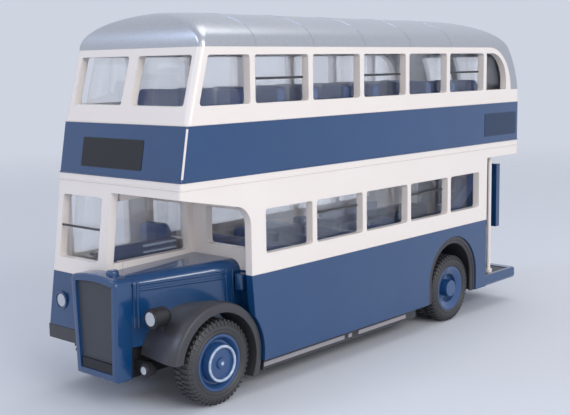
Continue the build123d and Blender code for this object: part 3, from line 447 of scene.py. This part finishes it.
def addTyre(shape, centre, innerY, outerY, boreRadius, treadRadius, turnStep):
    crown = treadRadius - tyre["lugHeight"]
    shoulder = crown - tyre["shoulderDrop"]
    wall = (boreRadius + shoulder) / 2
    middle = (innerY + outerY) / 2
    way = 1 if outerY > innerY else -1
    bulge = way * tyre["wallBulge"]
    groove = way * tyre["wallGroove"]
    run = way * tyre["shoulderRun"]
    section = [(boreRadius, innerY), (wall, innerY), (shoulder, innerY), (crown, innerY + run),
               (crown, middle), (crown, outerY - run), (shoulder, outerY - bulge),
               (wall + tyre["grooveHalf"], outerY), (wall, outerY - groove),
               (wall - tyre["grooveHalf"], outerY), (boreRadius + tyre["rimStep"], outerY - bulge),
               (boreRadius, outerY - 2 * bulge)]
    outline = addOutline(shape, [(centre.x, y, centre.z + radius) for radius, y in section])
    steps = 2 * tyre["lugs"]
    spinRound(shape, outline, centre, alongY, steps)
    bmesh.ops.recalc_face_normals(shape, faces=shape.faces)
    crownLugs, shoulderLugs = [], []
    for face in shape.faces:
        middleOf = face.calc_center_median()
        if not min(innerY, outerY) < middleOf.y < max(innerY, outerY):
            continue
        reach = math.hypot(middleOf.x - centre.x, middleOf.z - centre.z)
        if reach < shoulder:
            continue
        step = round(math.atan2(middleOf.z - centre.z, middleOf.x - centre.x) / (2 * math.pi) * steps - 0.5)
        inward = (middleOf.y - middle) * way < 0
        if (step + inward + turnStep) % 2:
            continue
        (crownLugs if reach > crown - tyre["crownSlack"] else shoulderLugs).append(face)
    bmesh.ops.inset_individual(shape, faces=crownLugs, thickness=tyre["lugTaper"], depth=tyre["lugHeight"],
                               use_even_offset=True)
    bmesh.ops.inset_individual(shape, faces=shoulderLugs, thickness=tyre["shoulderTaper"],
                               depth=tyre["shoulderLug"], use_even_offset=True)


for axle in axles:
    for side in sides:
        node = side + "_" + axle + "_tyre"
        low, high = boxOf(node)
        wheelLow, wheelHigh = boxOf(side + "_" + axle + "_wheel")
        centre = (low + high) / 2
        inner, outer = (low.y, high.y) if side == "nearside" else (high.y, low.y)
        bore = (wheelHigh.z - wheelLow.z) / 2
        tread = (high.z - low.z) / 2
        shape = bmesh.new()
        if axle == "front":
            addTyre(shape, centre, inner, outer, bore, tread, 0)
        else:
            # twin tyres side by side
            half = (outer - inner - math.copysign(tyre["twinGroove"], outer - inner)) / 2
            addTyre(shape, centre, inner, inner + half, bore, tread, 0)
            addTyre(shape, centre, outer - half, outer, bore, tread, 1)
        piece = addPiece(side + "_" + axle + "_tread", shape, axle + "_axle_set", tyreRubber)
        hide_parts(node)
print("tyres made")

# front wheels: a nut guard that stands out of the disc, a pale ring round its rim and a pale spot on its hub,
# the ring and the spot being painted highlights
wheelTrim = {"section": [(0.0, -0.6), (3.15, -0.6), (2.9, 0.45), (2.5, 0.45), (2.35, 0.05), (0.95, 0.05),
                         (0.8, 0.4), (0.45, 0.5), (0.0, 0.5)],
             "ringRadius": 2.7, "ringWire": 0.23, "wireSides": 12, "steps": 64, "spotRadius": 0.32,
             "spotRise": 0.16, "sharp": 30}
rimOut = wheelTrim["section"][2][1]
hubOut = wheelTrim["section"][-1][1]
for side, way in sides.items():
    low, high = boxOf(side + "_front_wheel")
    centre = (low + high) / 2
    faceY = outerFace(low, high, way)
    shape = bmesh.new()
    outline = addOutline(shape, [(centre.x, faceY + way * out, centre.z + radius)
                                 for radius, out in wheelTrim["section"]], closed=False)
    spinRound(shape, outline, centre, alongY, wheelTrim["steps"])
    addPiece(side + "_nut_guard", shape, "front_axle_set", wheelEnamel, wheelTrim["sharp"])
    shape = bmesh.new()
    addRing(shape, (centre.x, faceY + way * rimOut, centre.z), alongY, wheelTrim["ringRadius"],
            wheelTrim["ringWire"], wheelTrim["wireSides"], wheelTrim["steps"])
    addDome(shape, (centre.x, faceY + way * hubOut, centre.z), way * alongY, wheelTrim["spotRadius"],
            wheelTrim["spotRise"])
    addPiece(side + "_wheel_ring", shape, "front_axle_set", highlightEnamel)
print("wheel trim made")

# beads on the side of the bonnet, and the small can on the bulkhead behind it
bonnetTrim = {"frontX": 49.0, "rearX": 30.0, "frontY": 4.7, "rearY": 10.0, "bead": 0.24,
              "levels": (19.3, 18.45), "levelSpan": (47.3, 32.7), "uprights": (48.2, 47.5, 32.6, 31.4),
              "uprightSpan": (12.6, 19.5), "can": (31.1, 11.2), "canRadius": 0.95, "canSpan": (16.4, 19.2),
              "canSoft": 0.35}


def bonnetPoint(x, z):
    # a place on the bonnet's side, which widens evenly to the rear
    share = (bonnetTrim["frontX"] - x) / (bonnetTrim["frontX"] - bonnetTrim["rearX"])
    return (x, bonnetTrim["frontY"] + share * (bonnetTrim["rearY"] - bonnetTrim["frontY"]), z)


shape = bmesh.new()
for z in bonnetTrim["levels"]:
    addBead(shape, [bonnetPoint(x, z) for x in bonnetTrim["levelSpan"]], bonnetTrim["bead"])
for x in bonnetTrim["uprights"]:
    addBead(shape, [bonnetPoint(x, z) for z in bonnetTrim["uprightSpan"]], bonnetTrim["bead"])
    addDome(shape, bonnetPoint(x, bonnetTrim["uprightSpan"][1]), alongZ, bonnetTrim["bead"],
            bonnetTrim["bead"])
addPiece("bonnet_beads", shape, "bus", blueEnamel)
shape = bmesh.new()
addCan(shape, bonnetTrim["can"], bonnetTrim["canRadius"], *bonnetTrim["canSpan"], bonnetTrim["canSoft"])
addPiece("bulkhead_can", shape, "bus", blueEnamel)

# radiator: a tapered shell with a square-cornered recess, its grille, filler cap, studs and blank plate
radiator = {"xSpan": (49.0, 52.0), "lowHalf": 5.0, "topHalf": 5.65, "middleY": -0.15, "zSpan": (4.6, 20.4),
            "crown": 0.6, "corner": 0.85, "cornerSteps": 5, "edge": 0.35, "frame": 0.75, "recess": 0.55,
            "recessSlope": 0.06, "sharp": 40,
            "grilleX": (50.4, 51.5), "grilleLowHalf": 4.15, "grilleTopHalf": 4.8, "grilleZ": (5.5, 19.5),
            "grilleCrown": 0.35, "cap": (49.7, 1.9), "capRadius": 1.0, "capSpan": (20.2, 21.6),
            "capSoft": 0.4, "studY": 4.75, "studLevels": (10.8, 19.2), "studSink": 0.35, "studRadius": 0.26,
            "studRise": 0.42, "plateX": 51.55, "plateZ": 6.5, "plateSize": (0.5, 7.4, 1.6),
            "plateCorner": 0.15}


def crownedBlock(shape, xSpan, lowHalf, topHalf, zSpan, crown):
    # a block that narrows downwards, with its top bowed up in the middle
    addBlock(shape, xSpan, (-topHalf, topHalf), zSpan)
    across = [edge for edge in shape.edges if abs(edge.verts[0].co.y - edge.verts[1].co.y) > topHalf]
    bmesh.ops.subdivide_edges(shape, edges=across, cuts=flats["crown"], use_grid_fill=True)
    for vertex in shape.verts:
        if vertex.co.z < sum(zSpan) / 2:
            vertex.co.y *= lowHalf / topHalf
        else:
            vertex.co.z += crown * (1 - (vertex.co.y / topHalf) ** 2)


shape = bmesh.new()
crownedBlock(shape, radiator["xSpan"], radiator["lowHalf"], radiator["topHalf"], radiator["zSpan"],
             radiator["crown"])
shoulders = [edge for edge in shape.edges
             if all(abs(vertex.co.y) > radiator["topHalf"] - near for vertex in edge.verts)]
roundOver(shape, shoulders, radiator["corner"], radiator["cornerSteps"])
frontX = radiator["xSpan"][1]
rim = [edge for edge in shape.edges if all(vertex.co.x > frontX - near for vertex in edge.verts)
       and any(abs(face.normal.x) < parallel for face in edge.link_faces)]
roundOver(shape, rim, radiator["edge"], flats["edge"])
shape.normal_update()
inner = [face for face in shape.faces
         if face.normal.x > parallel and face.calc_center_median().x > frontX - near]
for thickness, depth in ((radiator["frame"], 0.0), (radiator["recessSlope"], -radiator["recess"])):
    bmesh.ops.inset_region(shape, faces=inner, thickness=thickness, depth=depth, use_even_offset=True)
bmesh.ops.translate(shape, vec=radiator["middleY"] * alongY, verts=shape.verts)
piece = addPiece("radiator_surround", shape, "bus", blueEnamel, radiator["sharp"])
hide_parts("radiator_shell")
shape = bmesh.new()
crownedBlock(shape, radiator["grilleX"], radiator["grilleLowHalf"], radiator["grilleTopHalf"],
             radiator["grilleZ"], radiator["grilleCrown"])
bmesh.ops.translate(shape, vec=radiator["middleY"] * alongY, verts=shape.verts)
piece = addPiece("radiator_gauze", shape, "bus", wireGauze)
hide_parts("radiator_grille")
shape = bmesh.new()
addCan(shape, radiator["cap"], radiator["capRadius"], *radiator["capSpan"], radiator["capSoft"])
addPiece("radiator_cap", shape, "bus", blueEnamel)
shape = bmesh.new()
for z in radiator["studLevels"]:
    for y in (-radiator["studY"], radiator["studY"]):
        addDome(shape, (frontX - radiator["studSink"], y, z), alongX, radiator["studRadius"],
                radiator["studRise"])
addPiece("radiator_studs", shape, "bus", blueEnamel)
shape = bmesh.new()
addPlate(shape, Matrix.Translation((radiator["plateX"], radiator["middleY"], radiator["plateZ"])),
         radiator["plateSize"], radiator["plateCorner"])
addPiece("number_plate", shape, "bus", blindCard)

# nearside wing: a crowned section turned over the wheel, cut level at its front and rear ends
wing = {"section": [(14.6, 7.95), (14.6, 8.95), (14.4, 9.3), (13.9, 9.48), (12.6, 9.48), (11.0, 9.3),
                    (9.2, 8.95), (7.4, 8.6), (5.2, 8.3), (5.2, 7.95)],
        "frontZ": 8.3, "rearZ": 2.9, "sweep": 130, "steps": 40, "sharp": 40}
tyreLow, tyreHigh = boxOf("nearside_front_tyre")
hub = (tyreLow + tyreHigh) / 2
shape = bmesh.new()
for way, endZ in ((1, wing["frontZ"]), (-1, wing["rearZ"])):
    half = bmesh.new()
    outline = addOutline(half, [(hub.x, y, hub.z + radius) for y, radius in wing["section"]])
    bmesh.ops.spin(half, geom=outline, cent=hub, axis=alongY, angle=way * math.radians(wing["sweep"]),
                   steps=wing["steps"], use_merge=False, use_duplicate=False)
    cut = cutAway(half, endZ * alongZ, -alongZ)
    bmesh.ops.contextual_create(half, geom=[part for part in cut if isinstance(part, bmesh.types.BMEdge)])
    joinShapes(shape, half)
piece = addPiece("nearside_mudguard", shape, "bus", charcoalStyrene, wing["sharp"])
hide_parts("nearside_front_wing")

# cab: the engine cover beside the driver, with rails along its side in pale paint, as painted highlights on
# their edges
cowl = {"xSpan": (31.6, 46.0), "ySpan": (-5.4, -3.6), "zSpan": (19.3, 23.8), "soft": 0.7, "softSteps": 5,
        "railLevels": (22.0, 23.1), "railSpan": (31.8, 39.0), "rail": 0.2}
shape = bmesh.new()
addBlock(shape, cowl["xSpan"], cowl["ySpan"], cowl["zSpan"])
crest = [edge for edge in shape.edges
         if all(vertex.co.z > cowl["zSpan"][1] - near for vertex in edge.verts)]
roundOver(shape, crest, cowl["soft"], cowl["softSteps"])
addPiece("engine_cover", shape, "bus", coverStyrene)
shape = bmesh.new()
for z in cowl["railLevels"]:
    addBead(shape, [(x, cowl["ySpan"][1], z) for x in cowl["railSpan"]], cowl["rail"])
addPiece("cover_rails", shape, "bus", highlightEnamel)

# cab sill: carried forward to the raked front post
cabSill = {"xSpan": (45.3, 48.2), "ySpan": (-2.35, -1.06), "zSpan": (19.35, 21.75), "soft": 0.12,
           "softSteps": 3}
shape = bmesh.new()
addBlock(shape, cabSill["xSpan"], cabSill["ySpan"], cabSill["zSpan"])
roundOver(shape, shape.edges, cabSill["soft"], cabSill["softSteps"])
addPiece("cab_sill", shape, "bus", creamEnamel)

# steering box on the offside wing, under the end of the column
steeringBox = {"place": (45.5, -9.4), "radius": 0.75, "zSpan": (13.4, 16.3), "soft": 0.2}
shape = bmesh.new()
addCan(shape, steeringBox["place"], steeringBox["radius"], *steeringBox["zSpan"], steeringBox["soft"])
addPiece("steering_box", shape, "bus", blackStyrene)

# lower saloon seats: the moulding with its seat backs at the height of the window sills
seats = {"cushionZ": 17.2, "topZ": 21.5}
shape = solidCopy("lower_seats")
backs = [vertex for vertex in shape.verts if vertex.co.z > seats["cushionZ"]]
shrink = (seats["topZ"] - seats["cushionZ"]) / (boxOf("lower_seats")[1].z - seats["cushionZ"])
bmesh.ops.scale(shape, vec=(1, 1, shrink), space=Matrix.Translation((0, 0, -seats["cushionZ"])), verts=backs)
piece = addPiece("saloon_seats", shape, "bus", seatStyrene)
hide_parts("lower_seats")
print("front trim made")

# blank destination panels on the deck band: the front one follows the rake
blind = {"frontSpan": (-9.2, 5.7), "frontLevels": (36.8, 41.4), "sideSpan": (-50.4, -37.7),
         "sideLevels": (36.9, 41.6), "thickness": 0.3, "stand": 0.07, "corner": 0.25}
bandLow, bandHigh = boxOf("deck_band")
bandTopFront = boxOf("upper_window_band")[1].x
rake = math.atan2(bandHigh.x - bandTopFront, bandHigh.z - bandLow.z)


def bandFront(z):
    # how far forward the raked front of the deck band stands at a height
    return bandHigh.x - (z - bandLow.z) * math.tan(rake)


shape = bmesh.new()
lowZ, highZ = blind["frontLevels"]
midZ = (lowZ + highZ) / 2
midY = sum(blind["frontSpan"]) / 2
leaning = Matrix.Translation((bandFront(midZ) + blind["stand"], midY, midZ)) @ Matrix.Rotation(-rake, 4, "Y")
addPlate(shape, leaning @ Matrix.Translation((-blind["thickness"] / 2, 0, 0)),
         (blind["thickness"], blind["frontSpan"][1] - blind["frontSpan"][0], (highZ - lowZ) / math.cos(rake)),
         blind["corner"])
addPiece("front_blind", shape, "bus", blindCard)
shape = bmesh.new()
lowZ, highZ = blind["sideLevels"]
blindY = bandHigh.y + blind["stand"] - blind["thickness"] / 2
facing = (Matrix.Translation((sum(blind["sideSpan"]) / 2, blindY, (lowZ + highZ) / 2))
          @ Matrix.Rotation(math.pi / 2, 4, "Z"))
addPlate(shape, facing, (blind["thickness"], blind["sideSpan"][1] - blind["sideSpan"][0], highZ - lowZ),
         blind["corner"])
addPiece("side_blind", shape, "bus", sideCard)

# opening lights: the bars across every second window, and one across the windscreen
ventBars = {"upper": [(30.8, 18.15), (3.2, -9.45), (-24.4, -37.05)], "upperZ": 50.3,
            "lower": [(16.4, 3.75), (-11.2, -23.85)], "lowerZ": 27.3, "glassY": 13.62, "bar": 0.2,
            "screenSpan": (-13.2, -3.3), "screenZ": 27.0, "screenX": 47.7}
shape = bmesh.new()
for deck in ("upper", "lower"):
    for window in ventBars[deck]:
        addBead(shape, [(x, ventBars["glassY"], ventBars[deck + "Z"]) for x in window], ventBars["bar"])
addBead(shape, [(ventBars["screenX"], y, ventBars["screenZ"]) for y in ventBars["screenSpan"]],
        ventBars["bar"])
addPiece("vent_bars", shape, "bus", charcoalStyrene)

# moulded beads round the body where the colours meet, and the lip under the deck band
bodyBeads = {"radius": 0.14, "upperZ": 43.8, "bandZ": 35.55, "lipZ": 34.4, "lipFront": 46.85, "waistZ": 19.5,
             "waistFront": 48.88, "bulkheadX": 30.0, "entranceX": -38.8, "cabY": -1.0,
             "frontCorner": 0.5, "rearCorner": 0.9, "cornerSteps": 4}
rearX = bandLow.x


def cornerArc(frontX, wayX, wayY, firstAngle, z):
    # a quarter turn round one corner of the body, clockwise as seen from above
    radius = bodyBeads["frontCorner"] if wayX > 0 else bodyBeads["rearCorner"]
    centreX = frontX - radius if wayX > 0 else rearX + radius
    centreY = wayY * (bandHigh.y - radius)
    turns = [math.radians(firstAngle - 90 * step / bodyBeads["cornerSteps"])
             for step in range(bodyBeads["cornerSteps"] + 1)]
    return [(centreX + radius * math.cos(turn), centreY + radius * math.sin(turn), z) for turn in turns]


def roundBody(frontX, z):
    # the whole way round the body, from the middle of its rear
    path = [(rearX, 0, z)]
    for wayX, wayY, firstAngle in ((-1, 1, 180), (1, 1, 90), (1, -1, 0), (-1, -1, -90)):
        path += cornerArc(frontX, wayX, wayY, firstAngle, z)
    return path + [(rearX, 0, z)]


waistZ = bodyBeads["waistZ"]
waistFront = bodyBeads["waistFront"]
shape = bmesh.new()
addBead(shape, roundBody(bandTopFront, bodyBeads["upperZ"]), bodyBeads["radius"])
addBead(shape, roundBody(bodyBeads["lipFront"], bodyBeads["lipZ"]), bodyBeads["radius"])
addBead(shape, [(x, bandHigh.y, waistZ) for x in (bodyBeads["bulkheadX"], bodyBeads["entranceX"])],
        bodyBeads["radius"])
addBead(shape, [(waistFront, bodyBeads["cabY"], waistZ), *cornerArc(waistFront, 1, -1, 0, waistZ),
                cornerArc(waistFront, -1, -1, -90, waistZ)[0]], bodyBeads["radius"])
addPiece("cream_beads", shape, "bus", creamEnamel)
shape = bmesh.new()
addBead(shape, roundBody(bandHigh.x, bodyBeads["bandZ"]), bodyBeads["radius"])
addPiece("band_bead", shape, "bus", blueEnamel)

# the deck band's front corner: a pale cream strip along it, a painted highlight for the bright line on that
# edge
cornerHighlight = {"radius": 0.18, "sink": 0.19, "levels": (36.0, 43.3)}
shape = bmesh.new()
addBead(shape, [(bandFront(z) - cornerHighlight["sink"], bandHigh.y - cornerHighlight["sink"], z) for z in cornerHighlight["levels"]],
        cornerHighlight["radius"])
addPiece("corner_highlight", shape, "bus", creamEnamel)

# rear arches: a rolled lip inside each opening, of the liner's own moulding
archLip = {"radius": 0.42, "inset": 1.05, "setIn": 0.4, "steps": 20}
shape = bmesh.new()
for side, way in sides.items():
    low, high = boxOf(side + "_arch_liner")
    outerRadius = (high.x - low.x) / 2
    middleX = (low.x + high.x) / 2
    crownZ = high.z - outerRadius
    lipY = outerFace(low, high, way) - way * archLip["setIn"]
    reach = outerRadius - archLip["inset"]
    turns = [math.pi * step / archLip["steps"] for step in range(archLip["steps"] + 1)]
    arc = [(middleX + reach * math.cos(turn), lipY, crownZ + reach * math.sin(turn)) for turn in turns]
    addBead(shape, [(middleX + reach, lipY, low.z), *arc, (middleX - reach, lipY, low.z)],
            archLip["radius"])
addPiece("arch_lips", shape, "bus", charcoalStyrene)

# side rails: a paler strip along the upper half of each rail, painted light where the lamps fall on the
# rail's top, broken at its brackets; the spans are shares of the rail's length from its front end
railLitStrip = {"spans": ((0.0, 0.483), (0.51, 0.532), (0.577, 0.917)), "levels": (3.4, 4.15), "stand": 0.2,
             "thickness": 0.4, "corner": 0.12}
shape = bmesh.new()
lowZ, highZ = railLitStrip["levels"]
for side, way in sides.items():
    low, high = boxOf(side + "_side_rail")
    stripY = outerFace(low, high, way) + way * (railLitStrip["stand"] - railLitStrip["thickness"] / 2)
    length = high.x - low.x
    for first, last in railLitStrip["spans"]:
        facing = (Matrix.Translation((high.x - (first + last) / 2 * length, stripY, (lowZ + highZ) / 2))
                  @ Matrix.Rotation(way * math.pi / 2, 4, "Z"))
        addPlate(shape, facing, (railLitStrip["thickness"], (last - first) * length, highZ - lowZ),
                 railLitStrip["corner"])
addPiece("rail_lit_strips", shape, "bus", railLitStyrene)

# roof ribs: narrow strips cut from the roof's own outer skin and raised a little; a face belongs to the
# outer skin if it looks away from the heart of the roof
ribs = {"places": (30.2, 16.4, 2.6, -11.2, -25.0), "half": 0.22, "rise": 0.045, "sink": 0.3, "heartZ": 50.0,
        "away": 1.0}
shape = bmesh.new()
for x in ribs["places"]:
    strip = solidCopy("roof")
    for way in (1, -1):
        cutAway(strip, (x + way * ribs["half"]) * alongX, way * alongX)
    strip.normal_update()
    heart = Vector((x, 0, ribs["heartZ"]))
    inside = [face for face in strip.faces
              if face.normal.dot(face.calc_center_median() - heart) < ribs["away"]]
    bmesh.ops.delete(strip, geom=inside, context="FACES")
    strip.normal_update()
    for vertex in strip.verts:
        vertex.co += vertex.normal * ribs["rise"]
    bmesh.ops.solidify(strip, geom=strip.faces[:], thickness=ribs["sink"])
    joinShapes(shape, strip)
addPiece("roof_ribs", shape, "bus", silverRoof)

# lamp rims: a rounded ring round each lamp glass
lampRims = {"wire": 0.2, "wireSides": 10, "back": 0.2, "steps": 40}
for node, name, finish, slotName in (
        ("nearside_headlamp_lens", "nearside_lamp_rim", blackStyrene, "black_plastic"),
        ("offside_headlamp_lens", "offside_lamp_rim", blueEnamel, "blue_paint"),
        ("fog_lamp_lens", "fog_lamp_rim", blackStyrene, "black_plastic")):
    low, high = boxOf(node)
    centre = (low + high) / 2
    shape = bmesh.new()
    addRing(shape, (high.x - lampRims["back"], centre.y, centre.z), alongX, (high.z - low.z) / 2,
            lampRims["wire"], lampRims["wireSides"], lampRims["steps"])
    addPiece(name, shape, "bus", finish)
print("body trim made")

# studio: a pale floor that fades into a pale backdrop, and soft lamps
studio = {"floorHalf": 1600, "floorColour": "#D8DBE3", "floorRoughness": 0.85, "fadeFrom": 100,
          "fadeTo": 500, "backColour": "#CFD4E1", "skyColour": "#E6EAF2", "skyLight": 0.62, "aimZ": 30}
floorMesh = bmesh.new()
bmesh.ops.create_grid(floorMesh, x_segments=1, y_segments=1, size=studio["floorHalf"] * mm)
floorData = bpy.data.meshes.new("floor")
floorMesh.to_mesh(floorData)
floorMesh.free()
floor = bpy.data.objects.new("floor", floorData)
scene.collection.objects.link(floor)
# matt paper: an even pale ground that takes a soft shadow
floorPaper, tree, shader = newMaterial("floorPaper")
shader.inputs["Base Color"].default_value = linearColour(studio["floorColour"])
shader.inputs["Roughness"].default_value = studio["floorRoughness"]
place = addNode(tree, "ShaderNodeTexCoord").outputs["Object"]
reach = addNode(tree, "ShaderNodeVectorMath", {"operation": "LENGTH"}, {0: place})
fade = addNode(tree, "ShaderNodeMapRange", {"interpolation_type": "SMOOTHSTEP"},
               {"Value": reach.outputs["Value"], "From Min": studio["fadeFrom"] * mm,
                "From Max": studio["fadeTo"] * mm})
clear = addNode(tree, "ShaderNodeBsdfTransparent")
blend = addNode(tree, "ShaderNodeMixShader", None,
                {0: fade.outputs["Result"], 1: shader.outputs["BSDF"], 2: clear.outputs["BSDF"]})
tree.links.new(blend.outputs["Shader"], tree.nodes["Material Output"].inputs["Surface"])
floorData.materials.append(floorPaper)

# the world: a soft sky for light, and the plain backdrop where it is seen or reflected
world = bpy.data.worlds.new("studio")
scene.world = world
world.use_nodes = True
tree = world.node_tree
sky = tree.nodes["Background"]
sky.inputs["Color"].default_value = linearColour(studio["skyColour"])
sky.inputs["Strength"].default_value = studio["skyLight"]
paths = addNode(tree, "ShaderNodeLightPath").outputs
seen = addNode(tree, "ShaderNodeMath", {"operation": "MAXIMUM"},
               {0: paths["Is Camera Ray"], 1: paths["Is Glossy Ray"]})
seen = addNode(tree, "ShaderNodeMath", {"operation": "MAXIMUM"},
               {0: seen.outputs["Value"], 1: paths["Is Transmission Ray"]})
backdrop = addNode(tree, "ShaderNodeBackground", None,
                   {"Color": linearColour(studio["backColour"]), "Strength": 1.0})
either = addNode(tree, "ShaderNodeMixShader", None,
                 {0: seen.outputs["Value"], 1: sky.outputs["Background"], 2: backdrop.outputs["Background"]})
tree.links.new(either.outputs["Shader"], tree.nodes["World Output"].inputs["Surface"])

lamps = [
    {"name": "keyLamp", "place": (120, 440, 250), "size": 300, "power": 0.98},
    {"name": "glintLamp", "place": (300, 360, 330), "size": 50, "power": 0.08},
    {"name": "frontLamp", "place": (400, 150, 110), "size": 60, "power": 0.1},
    {"name": "skyLamp", "place": (345, -220, 250), "size": 130, "power": 0.3, "colour": "#C4D9FF"},
    {"name": "beadLamp", "place": (-70, 430, 310), "size": 90, "power": 0.18},
    {"name": "topLamp", "place": (-160, 20, 480), "size": 360, "power": 0.5},
]
for row in lamps:
    lampData = bpy.data.lights.new(row["name"], "AREA")
    lampData.shape = "DISK"
    lampData.size = row["size"] * mm
    lampData.energy = row["power"]
    lampData.color = linearColour(row.get("colour", "#FFFFFF"))[:3]
    lamp = bpy.data.objects.new(row["name"], lampData)
    scene.collection.objects.link(lamp)
    lamp.location = Vector(row["place"]) * mm
    aim = studio["aimZ"] * mm * alongZ - lamp.location
    lamp.rotation_euler = aim.to_track_quat("-Z", "Y").to_euler()
print("studio set")
